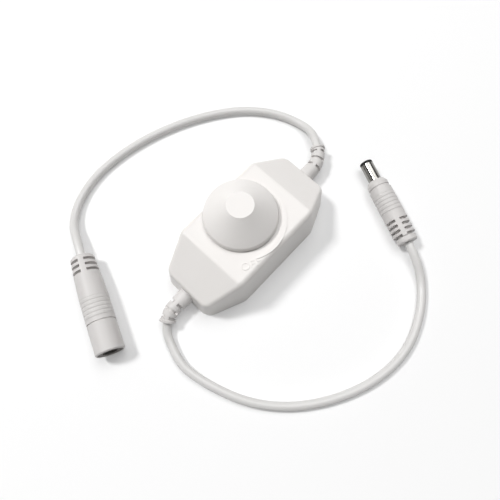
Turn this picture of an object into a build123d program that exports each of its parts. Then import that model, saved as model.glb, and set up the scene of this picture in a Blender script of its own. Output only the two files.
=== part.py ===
from build123d import *
from math import cos, radians, sin, sqrt, tan
import os

# Inline rotary lamp dimmer: a small two-piece housing on a low-voltage lead, with one large
# knob on top, a socket on the end of one cable and a barrel plug on the end of the other.
# Millimetres. The origin is under the middle of the housing, on the table it lies on.
# +X runs along the housing to the socket's cable, +Y across it, +Z up.

os.makedirs("parts", exist_ok=True)

# Housing
housing_half_length = 35.4
housing_half_width = 18.0
housing_height = 19.5
flat_half_length = 19.9
end_half_width = 11.4
end_height = 10.6
side_draft = 6.2
shell_wall = 1.8
waist_corner = 8.0
end_corner = 5.5
top_edge_round = 2.0
crease_round = 2.5
foot_bevel = 0.3

# Cover that closes the housing from below
cover_thickness = 1.8
rim_wall = 1.0
cover_clearance = 0.12

# Screws that hold the cover
screw_x = 26.0
screw_y = 8.8
screw_radius = 1.1
screw_length = 8.0
screw_head_radius = 2.0
screw_head_height = 1.3
screw_head_clearance = 0.15
screw_slot_width = 0.6
screw_slot_depth = 0.6
screw_slot_share = 0.7
boss_radius = 2.6
pad_radius = 3.2
pad_height = 3.2

# Cable glands
gland_height = 5.2
gland_radius = 3.5
gland_tip_radius = 2.75
gland_neck_radius = 2.7
gland_neck_clearance = 0.06
gland_straights = (4.2, 5.6)
gland_root_depth = 1.0
gland_collar_radius = 3.2
gland_collar_length = 0.8
gland_flange_width = 10.0
gland_flange_height = 6.6
gland_flange_thickness = 1.8
gland_flange_corner = 1.0
gland_slot_width = 1.1
gland_slot_shares = (0.38, 0.62, 0.85)
gland_core_radius = 2.1
gland_rib_width = 1.5

# Cables, with their routes over the table
cable_diameter = 3.5
bend_share = 0.45
input_route = [
    (49.75, 4.99, 5.2),
    (53.1, 9.34, 5.2),
    (55.3, 14.9, 3.3),
    (55.4, 20.6, 1.75),
    (53.3, 28.0, 1.75),
    (49.5, 35.4, 1.75),
    (41.9, 44.8, 1.75),
    (28.7, 54.2, 1.75),
    (13.4, 61.5, 1.75),
    (-3.3, 66.2, 1.75),
    (-20.8, 67.8, 1.75),
    (-34.9, 64.8, 1.75),
    (-45.4, 58.1, 2.6),
    (-50.0, 48.0, 5.65),
    (-52.9, 41.8, 5.65),
]
output_route = [
    (-47.22, -1.8, 3.9),
    (-50.32, -3.86, 2.42),
    (-52.6, -8.9, 1.75),
    (-54.5, -14.6, 1.75),
    (-55.2, -20.4, 1.75),
    (-52.9, -31.6, 1.75),
    (-47.7, -45.5, 1.75),
    (-38.0, -58.3, 1.75),
    (-24.0, -68.8, 1.75),
    (-8.0, -75.6, 1.75),
    (8.2, -77.2, 1.75),
    (22.8, -72.6, 1.75),
    (34.2, -64.9, 1.75),
    (39.9, -55.7, 4.7),
    (42.4, -50.3, 4.7),
]

# Knob
knob_offset = 3.4
knob_gap = 0.6
knob_radius = 14.6
knob_shoulder_radius = 14.1
knob_skirt_height = 1.9
knob_height = 10.2
knob_cone_radius = 12.9
knob_shoulder_drop = 1.2
knob_top_radius = 5.2
knob_top_round = 3.0
knob_wall = 1.6
knob_edge_round = 1.4
knob_hub_radius = 4.8
knob_hub_gap = 0.6
knob_rib_thickness = 1.2
knob_ribs = 6

# Raised mark round the knob from the off end on, with its radii at start, middle and end
mark_start = -116.0
mark_end = -22.0
mark_outer = (18.3, 18.2, 17.1)
mark_inner = (17.8, 16.1, 16.0)
mark_height = 0.3

# Potentiometer
shaft_radius = 3.0
shaft_clearance = 0.05
shaft_flat = 1.5
shaft_engagement = 5.2
bushing_radius = 3.5
bushing_hole_clearance = 0.1
bushing_stand = 3.0
bushing_chamfer = 0.4
pot_radius = 8.0
pot_height = 8.0
pot_wall = 1.0
pot_plate_thickness = 1.2
rotor_radius = 6.2
rotor_thickness = 1.7
rotor_clearance = 0.1
track_thickness = 1.2
track_inner_radius = 3.4
track_groove = 0.2
wiper_gap = 0.05
wiper_width = 1.2
wiper_reach = 5.0
wiper_thickness = 0.3
lug_spacing = 5.0
lug_width = 1.0
lug_thickness = 0.4
lug_out = 1.6
lug_reach = 6.0
lug_below_board = 1.2
washer_radius = 5.6
washer_thickness = 0.5
nut_flat_to_flat = 10.0
nut_thickness = 2.0

# Circuit board and what is soldered to it
board_half_length = 21.0
board_half_width = 12.6
board_thickness = 1.6
board_gap = 1.2
board_corner = 1.5
board_hole_radius = 0.8
post_x = 14.0
post_y = 10.4
post_radius = 1.6
wire_radius = 0.6
wire_pitch = 2.0
wire_pad_pitch = 3.2
wire_pad_x = 18.6
wire_bend = 1.4

capacitor_radius = 3.15
capacitor_height = 7.0
capacitor_lip = 0.5
capacitor_groove_share = 0.12
capacitor_at = (15.2, -6.2)
transistor_body = (6.6, 6.1, 2.2)
transistor_at = (-14.0, -5.0)
transistor_tab = (5.2, 1.2, 0.5)
transistor_leg = (0.8, 2.6, 0.5)
transistor_leg_spacing = 4.56
transistor_bevel = 0.3
chip_body = (4.9, 3.9, 1.5)
chip_at = (-6.0, 4.6)
chip_leg_pitch = 1.27
chip_leg = (0.42, 1.1, 0.2)
diode_body = (4.3, 2.6, 2.1)
diode_at = (12.5, 5.6)
diode_lead = (1.0, 1.6, 0.3)
chip_capacitor_body = (2.0, 1.25, 0.9)
chip_capacitors_at = [(2.2, 2.6), (2.2, 5.0), (8.0, -1.6)]
resistor_body = (1.6, 0.8, 0.5)
resistors_at = [(-1.6, -1.6), (1.6, -1.6), (4.8, -1.6), (-1.6, -9.8), (6.4, 8.2)]

# Barrel plug
plug_radius = 4.7
plug_length = 29.4
plug_nose_length = 1.6
plug_nose_radius = 3.6
plug_neck_length = 1.3
plug_collar_length = 1.5
plug_collar_radius = 4.45
plug_neck_radius = 4.15
plug_tail_length = 2.3
plug_tail_radius = 4.2
plug_bevel = 0.4
plug_slots = 4
plug_slot_pitch = 2.25
plug_slot_width = 1.15
plug_core_radius = 3.0
plug_rib_width = 1.9
plug_roll = -18.0
barrel_radius = 2.75
barrel_length = 9.7
barrel_wall = 0.35
barrel_tip_length = 1.25
barrel_tip_bevel = 0.25
barrel_shank_radius = 2.95
barrel_root = 6.0
barrel_flange_radius = 3.3
barrel_flange_length = 1.2
contact_bore_radius = 1.08
contact_wall = 0.3
contact_depth = 9.0
contact_set_back = 0.4
contact_bottom = 1.0
contact_tail = 4.0
contact_tail_radius = 0.7

# Socket
jack_radius = 5.65
jack_tail_radius = 4.6
jack_slot_end_radius = 5.2
jack_taper_end = 18.0
jack_length = 40.6
jack_sleeve_length = 11.8
jack_groove_width = 0.7
jack_groove_depth = 0.35
jack_slots = 3
jack_slot_pitch = 2.35
jack_slot_first = 2.0
jack_slot_width = 1.15
jack_core_radius = 3.0
jack_rib_width = 2.2
jack_roll = -6.0
jack_insert_radius = 4.9
jack_insert_recess = 0.2
jack_insert_length = 13.0
jack_bevel = 0.4
jack_tail_bevel = 0.9
socket_bore_radius = 2.9
socket_depth = 9.6
centre_pin_radius = 1.0
centre_pin_set_back = 1.4
centre_pin_tail = 4.0
centre_pin_tail_radius = 0.7
spring_width = 1.6
spring_thickness = 0.4
spring_length = 7.0
spring_inner = 2.8
spring_tail = 2.5
core_wire_spacing = 1.3
core_wire_spread = 6.0

# Worked-out places
deck_underside = housing_height - shell_wall
pot_plate_bottom = deck_underside - pot_plate_thickness
pot_floor = deck_underside - pot_height
rotor_top = pot_plate_bottom - rotor_clearance
rotor_bottom = rotor_top - rotor_thickness
track_top = pot_floor + pot_wall + track_thickness
board_top = pot_floor - board_gap
board_bottom = board_top - board_thickness
knob_bottom = housing_height + knob_gap
knob_top = knob_bottom + knob_height
nut_top = housing_height + washer_thickness + nut_thickness
hub_bottom = nut_top + knob_hub_gap
shaft_top = hub_bottom + shaft_engagement
shaft_face = shaft_radius - shaft_flat
cable_radius = cable_diameter / 2
knob_centre = (0, knob_offset)


def housing_form(inset):
    """The housing's solid form, drawn in by inset on every face but the underside."""
    slope = (housing_height - end_height) / (housing_half_length - flat_half_length)
    reach = housing_half_length + shell_wall
    low = end_height - slope * shell_wall
    with BuildPart() as form:
        with BuildSketch() as plan:
            with BuildLine():
                corners = [
                    (flat_half_length, -housing_half_width),
                    (housing_half_length, -end_half_width),
                    (housing_half_length, end_half_width),
                    (flat_half_length, housing_half_width),
                ]
                Polyline(*corners, *[(-x, y) for x, y in reversed(corners)], close=True)
            make_face()
            middle = (flat_half_length + housing_half_length) / 2
            fillet(plan.vertices().filter_by(lambda v: abs(v.X) > middle), end_corner)
            fillet(plan.vertices().filter_by(lambda v: abs(v.X) < middle), waist_corner)
            if inset:
                offset(amount=-inset, kind=Kind.INTERSECTION)
        extrude(amount=housing_height, taper=side_draft)
        with BuildSketch(Plane.XZ) as roof:
            with BuildLine():
                Polyline(
                    (-reach, -2 * shell_wall),
                    (reach, -2 * shell_wall),
                    (reach, low),
                    (flat_half_length, housing_height),
                    (-flat_half_length, housing_height),
                    (-reach, low),
                    close=True,
                )
            make_face()
            creases = roof.vertices().filter_by(lambda v: abs(v.X) < middle)
            fillet(creases, crease_round)
            if inset:
                offset(amount=-inset, kind=Kind.INTERSECTION)
        extrude(amount=2 * housing_half_width, both=True, mode=Mode.INTERSECT)
    return form.part


outer_form = housing_form(0)
inner_form = housing_form(shell_wall)
end_slope = (housing_height - end_height) / (housing_half_length - flat_half_length)
ends = (-1, 1)
screw_places = [(x, y) for x in (-screw_x, screw_x) for y in (-screw_y, screw_y)]
notch_half_width = gland_neck_radius + gland_neck_clearance


def round_knob(radius, angle):
    """A point on the deck at a radius and an angle in degrees from the knob's middle."""
    turn = radians(angle)
    return (radius * cos(turn), knob_offset + radius * sin(turn))


def foot_outline(inset):
    """The outline of the housing's foot, drawn in by inset."""
    with BuildSketch() as outline:
        add(outer_form.faces().sort_by(Axis.Z)[0])
        offset(amount=-inset, kind=Kind.INTERSECTION)
    return outline.sketch


# Upper shell, with its cavity, gland notches, screw bosses and raised mark
with BuildPart() as bosses:
    with BuildSketch(Plane.XY.offset(pad_height)):
        with Locations(*screw_places):
            Circle(boss_radius)
    extrude(amount=housing_height)
    add(housing_form(shell_wall / 2), mode=Mode.INTERSECT)

with BuildPart() as upper_shell:
    add(outer_form)
    roof_edges = upper_shell.edges().filter_by(
        lambda e: e.bounding_box().min.Z > end_height - end_slope * shell_wall
    )
    fillet(roof_edges, top_edge_round)
    chamfer(upper_shell.faces().sort_by(Axis.Z)[0].edges(), foot_bevel)
    add(inner_form, mode=Mode.SUBTRACT)
    add(foot_outline(rim_wall))
    extrude(amount=cover_thickness, mode=Mode.SUBTRACT)
    add(bosses.part)
    with BuildSketch(Plane.XY.offset(pad_height)):
        with Locations(*screw_places):
            Circle(screw_radius)
    extrude(amount=screw_length, mode=Mode.SUBTRACT)
    with BuildSketch(Plane.XY.offset(housing_height)):
        with Locations(knob_centre):
            Circle(bushing_radius + bushing_hole_clearance)
    extrude(amount=-2 * shell_wall, mode=Mode.SUBTRACT)
    for end in ends:
        with BuildSketch(Plane.YZ.offset(end * (housing_half_length + shell_wall))):
            with Locations((0, gland_height)):
                Circle(notch_half_width)
            with Locations((0, gland_height / 2)):
                Rectangle(2 * notch_half_width, gland_height)
        extrude(amount=-end * 3 * shell_wall, mode=Mode.SUBTRACT)
    mark_angles = (mark_start, (mark_start + mark_end) / 2, mark_end)
    with BuildSketch(Plane.XY.offset(housing_height - mark_height)):
        with BuildLine():
            outer = [round_knob(*place) for place in zip(mark_outer, mark_angles)]
            inner = [round_knob(*place) for place in zip(mark_inner, mark_angles)]
            ThreePointArc(*outer)
            Line(outer[-1], inner[-1])
            ThreePointArc(*reversed(inner))
            Line(inner[0], outer[0])
        make_face()
    extrude(amount=2 * mark_height)

upper_shell.part.label = "upper_shell"
export_step(upper_shell.part, "parts/upper_shell.step")


# Cover, with its screw pads, board posts and the tongues that close the gland notches
with BuildPart() as tongues:
    for end in ends:
        with BuildSketch(Plane.YZ.offset(end * (housing_half_length + shell_wall))):
            with Locations((0, gland_height / 2)):
                Rectangle(2 * (notch_half_width - cover_clearance), gland_height)
            with Locations((0, gland_height)):
                Circle(notch_half_width, mode=Mode.SUBTRACT)
        extrude(amount=-end * 3 * shell_wall)
    add(outer_form, mode=Mode.INTERSECT)
    add(inner_form, mode=Mode.SUBTRACT)

with BuildPart() as base_cover:
    add(foot_outline(rim_wall + cover_clearance))
    extrude(amount=cover_thickness)
    add(tongues.part)
    with BuildSketch():
        with Locations(*screw_places):
            Circle(pad_radius)
    extrude(amount=pad_height)
    with BuildSketch(Plane.XY.offset(cover_thickness)):
        with GridLocations(2 * post_x, 2 * post_y, 2, 2):
            Circle(post_radius)
    extrude(amount=board_bottom - cover_thickness)
    with Locations(*[(x, y, 0) for x, y in screw_places]):
        CounterBoreHole(
            screw_radius + screw_head_clearance,
            screw_head_radius + screw_head_clearance,
            screw_head_height + screw_head_clearance,
        )

base_cover.part.label = "base_cover"
export_step(base_cover.part, "parts/base_cover.step")

# Four pan-head screws, sunk in the cover
head_top = screw_head_height + screw_head_clearance
slot_length = 2 * screw_slot_share * screw_head_radius
with BuildPart() as case_screws:
    for place in screw_places:
        with BuildSketch(Plane.XY.offset(head_top)):
            with Locations(place):
                Circle(screw_head_radius)
        extrude(amount=-screw_head_height)
        with BuildSketch(Plane.XY.offset(head_top)):
            with Locations(place):
                Circle(screw_radius)
        extrude(amount=screw_length)
        with BuildSketch(Plane.XY.offset(head_top - screw_head_height)):
            with Locations(place):
                Rectangle(screw_slot_width, slot_length)
                Rectangle(slot_length, screw_slot_width)
        extrude(amount=screw_slot_depth, mode=Mode.SUBTRACT)

case_screws.part.label = "case_screws"
export_step(case_screws.part, "parts/case_screws.step")


def across(curve, t):
    """A plane across the curve at t, with its X level."""
    along = curve % t
    return Plane(origin=curve @ t, x_dir=Vector(0, 0, 1).cross(along), z_dir=along)


def exit_plane(route):
    """A plane across the start of a cable, facing along it."""
    along = Vector(*route[1]) - Vector(*route[0])
    return Plane(origin=route[0], x_dir=Vector(0, 0, 1).cross(along), z_dir=along)


def gland(end, straight, route):
    """A moulded cable gland, bent towards its cable and slotted so that it can flex."""
    wall_face = end * (housing_half_length - shell_wall)
    seat = (end * (housing_half_length + straight), 0, gland_height)
    with BuildPart() as flange:
        with BuildSketch(Plane.YZ.offset(wall_face)):
            with Locations((0, gland_height)):
                RectangleRounded(gland_flange_width, gland_flange_height, gland_flange_corner)
        extrude(amount=gland_flange_thickness, both=True)
        add(inner_form, mode=Mode.INTERSECT)
    with BuildPart() as sleeve:
        with BuildLine() as spine:
            Line((wall_face, 0, gland_height), seat)
            TangentArc(seat, route[0], tangent=(end, 0, 0))
        curve = spine.wire()
        for t, radius in ((0, gland_radius), (1, gland_tip_radius)):
            with BuildSketch(across(curve, t)):
                Circle(radius)
        sweep(path=curve, multisection=True)
        with BuildSketch(exit_plane(route)):
            Circle(gland_collar_radius)
        extrude(amount=-gland_collar_length)
        with BuildSketch(exit_plane(route)):
            Circle(2 * gland_radius)
        extrude(amount=gland_collar_length, mode=Mode.SUBTRACT)
        add(outer_form, mode=Mode.SUBTRACT)
        for step, share in enumerate(gland_slot_shares):
            along = shell_wall + share * (curve.length - shell_wall)
            with BuildSketch(across(curve, along / curve.length)):
                Circle(2 * gland_radius)
                Circle(gland_core_radius, mode=Mode.SUBTRACT)
                rib = (gland_rib_width, 4 * gland_radius)
                Rectangle(*(rib if step % 2 == 0 else reversed(rib)), mode=Mode.SUBTRACT)
            extrude(amount=gland_slot_width / 2, both=True, mode=Mode.SUBTRACT)
        with BuildSketch(Plane.YZ.offset(wall_face - end * gland_flange_thickness)):
            with Locations((0, gland_height)):
                Circle(gland_neck_radius)
        extrude(amount=end * (gland_flange_thickness + shell_wall + gland_root_depth))
        add(flange.part)
    return sleeve.part


input_gland = gland(1, gland_straights[0], input_route)
output_gland = gland(-1, gland_straights[1], output_route)
for name, piece in (("input_gland", input_gland), ("output_gland", output_gland)):
    piece.label = name
    export_step(piece, f"parts/{name}.step")


def knob_form(inset):
    """The knob's solid form, drawn in by inset on every face but the underside."""
    cone_foot = knob_top - (knob_height - knob_skirt_height - knob_shoulder_drop)
    past_axis = -2 * knob_wall
    with BuildPart() as form:
        with BuildSketch(Plane.XZ.offset(-knob_offset)) as half:
            with BuildLine():
                Polyline(
                    (past_axis, knob_bottom - inset),
                    (knob_radius, knob_bottom - inset),
                    (knob_shoulder_radius, knob_bottom + knob_skirt_height),
                    (knob_cone_radius, cone_foot),
                    (knob_top_radius, knob_top),
                    (past_axis, knob_top),
                    close=True,
                )
            make_face()
            brows = half.vertices().filter_by(lambda v: v.X > 0 and v.Z > knob_bottom)
            fillet(brows.filter_by(lambda v: v.X < knob_radius / 2), knob_top_round)
            fillet(brows.filter_by(lambda v: v.X > knob_radius / 2), knob_edge_round)
            if inset:
                offset(amount=-inset, kind=Kind.INTERSECTION)
            with Locations((0, knob_bottom)):
                Rectangle(
                    knob_radius,
                    4 * knob_height,
                    align=(Align.MIN, Align.CENTER),
                    mode=Mode.INTERSECT,
                )
        revolve(axis=Axis((0, knob_offset, 0), (0, 0, 1)))
    return form.part


# The knob's hub and ribs hang in its hollow, clear of the nut
with BuildPart() as knob_web:
    with BuildSketch(Plane.XY.offset(hub_bottom)):
        with Locations(knob_centre):
            Circle(knob_hub_radius)
            with PolarLocations(knob_radius / 2, knob_ribs):
                Rectangle(knob_radius, knob_rib_thickness)
    extrude(amount=knob_height)
    add(knob_form(knob_wall / 2), mode=Mode.INTERSECT)

with BuildPart() as knob:
    add(knob_form(0))
    add(knob_form(knob_wall), mode=Mode.SUBTRACT)
    add(knob_web.part)
    with BuildSketch(Plane.XY.offset(hub_bottom)):
        with Locations(knob_centre):
            Circle(shaft_radius)
        with Locations((0, knob_offset + shaft_face)):
            Rectangle(
                2 * shaft_radius,
                shaft_radius,
                align=(Align.CENTER, Align.MIN),
                mode=Mode.SUBTRACT,
            )
    extrude(amount=shaft_engagement, mode=Mode.SUBTRACT)

knob.part.label = "knob"
export_step(knob.part, "parts/knob.step")

# Potentiometer shaft, with its flat for the knob and the rotor disc on its foot
with BuildPart() as pot_shaft:
    with BuildSketch(Plane.XY.offset(rotor_bottom)):
        with Locations(knob_centre):
            Circle(shaft_radius)
    extrude(amount=shaft_top - rotor_bottom)
    with BuildSketch(Plane.XY.offset(rotor_bottom)):
        with Locations(knob_centre):
            Circle(rotor_radius)
    extrude(amount=rotor_thickness)
    with BuildSketch(Plane.XY.offset(hub_bottom)):
        with Locations((0, knob_offset + shaft_face)):
            Rectangle(2 * shaft_radius, shaft_radius, align=(Align.CENTER, Align.MIN))
    extrude(amount=shaft_engagement, mode=Mode.SUBTRACT)

pot_shaft.part.label = "pot_shaft"
export_step(pot_shaft.part, "parts/pot_shaft.step")

# Wiper: a thin ring under the rotor, with two sprung fingers that reach down to the track
finger_drop = rotor_bottom - wiper_thickness - track_top - wiper_gap
with BuildPart() as pot_wiper:
    with BuildSketch(Plane.XY.offset(rotor_bottom)):
        with Locations(knob_centre):
            Circle(wiper_reach)
            Circle(wiper_reach - 2 * wiper_width, mode=Mode.SUBTRACT)
    extrude(amount=-wiper_thickness)
    for side in ends:
        with BuildSketch(Plane.XZ.offset(-knob_offset)):
            with BuildLine():
                reach = side * (wiper_reach - wiper_width)
                level = rotor_bottom - wiper_thickness
                Polyline(
                    (reach - wiper_thickness * 2, level),
                    (reach + wiper_thickness, level),
                    (reach + wiper_thickness, level - finger_drop),
                    (reach - wiper_thickness, level - finger_drop),
                    close=True,
                )
            make_face()
        extrude(amount=wiper_width / 2, both=True)

pot_wiper.part.label = "pot_wiper"
export_step(pot_wiper.part, "parts/pot_wiper.step")

# Front plate of the potentiometer, with the threaded bushing that carries the shaft
with BuildPart() as pot_bushing:
    with BuildSketch(Plane.XY.offset(pot_plate_bottom)):
        with Locations(knob_centre):
            Circle(pot_radius)
    extrude(amount=pot_plate_thickness)
    with BuildSketch(Plane.XY.offset(deck_underside)):
        with Locations(knob_centre):
            Circle(bushing_radius)
    extrude(amount=shell_wall + bushing_stand)
    rim_edge = pot_bushing.edges().filter_by(GeomType.CIRCLE).sort_by(Axis.Z)[-1]
    chamfer(rim_edge, bushing_chamfer)
    with BuildSketch(Plane.XY.offset(pot_plate_bottom)):
        with Locations(knob_centre):
            Circle(shaft_radius + shaft_clearance)
    extrude(amount=housing_height, mode=Mode.SUBTRACT)

pot_bushing.part.label = "pot_bushing"
export_step(pot_bushing.part, "parts/pot_bushing.step")

# Rear case of the potentiometer, a cup with a window for its lugs
lug_y = knob_offset - pot_radius - lug_out
window_half_width = lug_spacing + lug_width
window_end = knob_offset - sqrt((pot_radius - pot_wall) ** 2 - window_half_width**2)
with BuildPart() as pot_case:
    with BuildSketch(Plane.XY.offset(pot_floor)):
        with Locations(knob_centre):
            Circle(pot_radius)
    extrude(amount=pot_plate_bottom - pot_floor)
    with BuildSketch(Plane.XY.offset(pot_floor + pot_wall)):
        with Locations(knob_centre):
            Circle(pot_radius - pot_wall)
    extrude(amount=pot_height, mode=Mode.SUBTRACT)
    with BuildSketch(Plane.XY.offset(track_top)):
        with Locations((0, lug_y)):
            Rectangle(2 * window_half_width, window_end - lug_y, align=(Align.CENTER, Align.MIN))
    extrude(amount=2 * lug_thickness, mode=Mode.SUBTRACT)

pot_case.part.label = "pot_case"
export_step(pot_case.part, "parts/pot_case.step")

# Track wafer, with the shallow groove worn to its resistance ring
with BuildPart() as pot_track:
    with BuildSketch(Plane.XY.offset(track_top)):
        with Locations(knob_centre):
            Circle(pot_radius - pot_wall)
    extrude(amount=-track_thickness)
    with BuildSketch(Plane.XY.offset(track_top)):
        with Locations(knob_centre):
            Circle(wiper_reach)
            Circle(track_inner_radius, mode=Mode.SUBTRACT)
    extrude(amount=-track_groove, mode=Mode.SUBTRACT)
    with BuildSketch(Plane.XY.offset(track_top)):
        with Locations(knob_centre):
            Circle(track_inner_radius / 2)
    extrude(amount=-track_thickness, mode=Mode.SUBTRACT)

pot_track.part.label = "pot_track"
export_step(pot_track.part, "parts/pot_track.step")

# Three lugs from the track, out of the window and down through the board
with BuildPart() as pot_lugs:
    for x in (-lug_spacing, 0, lug_spacing):
        lug_end = knob_offset - sqrt(lug_reach**2 - x**2)
        with BuildSketch(Plane.XY.offset(track_top)):
            with Locations((x, lug_y)):
                Rectangle(lug_width, lug_end - lug_y, align=(Align.CENTER, Align.MIN))
        extrude(amount=lug_thickness)
        with BuildSketch(Plane.XY.offset(track_top)):
            with Locations((x, lug_y)):
                Rectangle(lug_width, lug_thickness, align=(Align.CENTER, Align.MIN))
        extrude(amount=board_bottom - lug_below_board - track_top)

pot_lugs.part.label = "pot_lugs"
export_step(pot_lugs.part, "parts/pot_lugs.step")

# Washer and nut that clamp the potentiometer under the deck
with BuildPart() as pot_washer:
    with BuildSketch(Plane.XY.offset(housing_height)):
        with Locations(knob_centre):
            Circle(washer_radius)
            Circle(bushing_radius, mode=Mode.SUBTRACT)
    extrude(amount=washer_thickness)

pot_washer.part.label = "pot_washer"
export_step(pot_washer.part, "parts/pot_washer.step")

with BuildPart() as pot_nut:
    with BuildSketch(Plane.XY.offset(housing_height + washer_thickness)):
        with Locations(knob_centre):
            RegularPolygon(nut_flat_to_flat / 2, 6, major_radius=False)
            Circle(bushing_radius, mode=Mode.SUBTRACT)
    extrude(amount=nut_thickness)

pot_nut.part.label = "pot_nut"
export_step(pot_nut.part, "parts/pot_nut.step")

# Circuit board, with holes for the lugs
with BuildPart() as circuit_board:
    with BuildSketch(Plane.XY.offset(board_bottom)):
        RectangleRounded(2 * board_half_length, 2 * board_half_width, board_corner)
        with Locations((0, lug_y + lug_thickness / 2)):
            with GridLocations(lug_spacing, 1, 3, 1):
                Circle(board_hole_radius, mode=Mode.SUBTRACT)
    extrude(amount=board_thickness)

circuit_board.part.label = "circuit_board"
export_step(circuit_board.part, "parts/circuit_board.step")

# Smoothing capacitor, a rolled can standing on the board
with BuildPart() as smoothing_capacitor:
    with BuildSketch(Plane.XY.offset(board_top)):
        with Locations(capacitor_at):
            Circle(capacitor_radius)
    extrude(amount=capacitor_height)
    lips = smoothing_capacitor.edges().filter_by(GeomType.CIRCLE)
    chamfer(lips, capacitor_lip)
    groove_height = board_top + capacitor_height * capacitor_groove_share
    with BuildSketch(Plane.XY.offset(groove_height)):
        with Locations(capacitor_at):
            Circle(2 * capacitor_radius)
            Circle(capacitor_radius - capacitor_lip / 2, mode=Mode.SUBTRACT)
    extrude(amount=capacitor_lip, mode=Mode.SUBTRACT)

smoothing_capacitor.part.label = "smoothing_capacitor"
export_step(smoothing_capacitor.part, "parts/smoothing_capacitor.step")

# Power transistor, flat on the board with its tab on one side and two legs on the other
with BuildPart() as power_transistor:
    length, width, height = transistor_body
    with BuildSketch(Plane.XY.offset(board_top)):
        with Locations(transistor_at):
            Rectangle(length, width)
    extrude(amount=height)
    chamfer(power_transistor.edges().group_by(Axis.Z)[-1], transistor_bevel)
    with BuildSketch(Plane.XY.offset(board_top)):
        with Locations(transistor_at):
            with Locations((0, (width + transistor_tab[1]) / 2)):
                Rectangle(transistor_tab[0], transistor_tab[1])
            with Locations((0, -(width + transistor_leg[1]) / 2)):
                with GridLocations(transistor_leg_spacing, 1, 2, 1):
                    Rectangle(transistor_leg[0], transistor_leg[1])
    extrude(amount=transistor_leg[2])

power_transistor.part.label = "power_transistor"
export_step(power_transistor.part, "parts/power_transistor.step")

# Control chip under the board, with four legs along each side
with BuildPart() as control_chip:
    length, width, height = chip_body
    with BuildSketch(Plane.XY.offset(board_bottom)):
        with Locations(chip_at):
            Rectangle(length, width)
    extrude(amount=-height)
    chamfer(control_chip.edges().group_by(Axis.Z)[0], transistor_bevel)
    with BuildSketch(Plane.XY.offset(board_bottom)):
        with Locations(chip_at):
            with GridLocations(chip_leg_pitch, width + chip_leg[1], 4, 2):
                Rectangle(chip_leg[0], chip_leg[1])
    extrude(amount=-chip_leg[2])

control_chip.part.label = "control_chip"
export_step(control_chip.part, "parts/control_chip.step")

# Diode across the output, flat on the board
with BuildPart() as freewheel_diode:
    length, width, height = diode_body
    with BuildSketch(Plane.XY.offset(board_top)):
        with Locations(diode_at):
            Rectangle(length, width)
    extrude(amount=height)
    chamfer(freewheel_diode.edges().group_by(Axis.Z)[-1], transistor_bevel)
    with BuildSketch(Plane.XY.offset(board_top)):
        with Locations(diode_at):
            Rectangle(length + 2 * diode_lead[0], diode_lead[1])
    extrude(amount=diode_lead[2])

freewheel_diode.part.label = "freewheel_diode"
export_step(freewheel_diode.part, "parts/freewheel_diode.step")


def chips(body, places):
    """Small surface-mounted blocks on the underside of the board."""
    length, width, height = body
    with BuildPart() as group:
        with BuildSketch(Plane.XY.offset(board_bottom)):
            with Locations(*places):
                Rectangle(length, width)
        extrude(amount=-height)
    return group.part


for name, body, places in (
    ("ceramic_capacitors", chip_capacitor_body, chip_capacitors_at),
    ("resistors", resistor_body, resistors_at),
):
    group = chips(body, places)
    group.label = name
    export_step(group, f"parts/{name}.step")


def core(*points, bend=0):
    """A thin insulated wire along straight runs, mitred or joined by bends."""
    with BuildPart() as wire:
        with BuildLine() as spine:
            if bend:
                FilletPolyline(*points, radius=bend)
            else:
                Polyline(*points)
        with BuildSketch(Plane(origin=spine.wire() @ 0, z_dir=spine.wire() % 0)):
            Circle(wire_radius)
        sweep(transition=Transition.RIGHT)
    return wire.part


# Two core wires from each gland to the board, red for positive and black for negative
for end, side in ((1, "input"), (-1, "output")):
    for row, colour in ((1, "red"), (-1, "black")):
        start_x = end * (housing_half_length - shell_wall - gland_flange_thickness)
        pad = (end * wire_pad_x, row * wire_pad_pitch / 2)
        wire = core(
            (start_x, row * wire_pitch / 2, gland_height),
            (*pad, gland_height),
            (*pad, board_bottom),
            bend=wire_bend,
        )
        name = f"{side}_{colour}_wire"
        wire.label = name
        export_step(wire, f"parts/{name}.step")


def bend_radii(route):
    """The largest radius that each corner of a route has room for."""
    points = [Vector(*p) for p in route]
    runs = [b - a for a, b in zip(points, points[1:])]
    radii = []
    for before, after in zip(runs, runs[1:]):
        half_turn = radians(before.get_angle(after)) / 2
        radii.append(bend_share * min(before.length, after.length) / tan(half_turn))
    return radii


def cable(route):
    """A plain round cable: straight runs joined by tangent arcs."""
    radii = bend_radii(route)
    with BuildPart() as cable_part:
        with BuildLine() as spine:
            FilletPolyline(*route, radius=radii)
        with BuildSketch(exit_plane(route)):
            Circle(cable_radius)
        sweep()
    length = spine.wire().length
    section = Circle(cable_radius).area
    print("length", round(length, 1), "section x length", round(section * length, 1))
    print("volume", round(cable_part.part.volume, 1))
    print("radii", [round(radius, 1) for radius in radii])
    return cable_part.part


for name, route in (("input_cable", input_route), ("output_cable", output_route)):
    print(name)
    piece = cable(route)
    piece.label = name
    export_step(piece, f"parts/{name}.step")


def end_plane(route):
    """A plane across the end of a cable, facing along it, with its Y up."""
    along = Vector(*route[-1]) - Vector(*route[-2])
    return Plane(origin=route[-1], x_dir=Vector(0, 0, 1).cross(along), z_dir=along)


def spun(profile):
    """A solid of revolution about Z from (radius, height) corners, closed along the axis."""
    with BuildPart() as solid:
        with BuildSketch(Plane.XZ):
            with BuildLine():
                Polyline(*profile, close=True)
            make_face()
        revolve(axis=Axis.Z)
    return solid.part


def flex_slots(first, count, pitch, width, radius, core, rib, roll):
    """Ring cuts that leave a round core and a rib above and below, so that the end can flex."""
    with BuildPart() as cuts:
        for step in range(count):
            with BuildSketch(Plane.XY.offset(first + step * pitch)):
                Circle(2 * radius)
                Circle(core, mode=Mode.SUBTRACT)
                Rectangle(rib, 5 * radius, rotation=roll, mode=Mode.SUBTRACT)
            extrude(amount=width)
    return cuts.part


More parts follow.
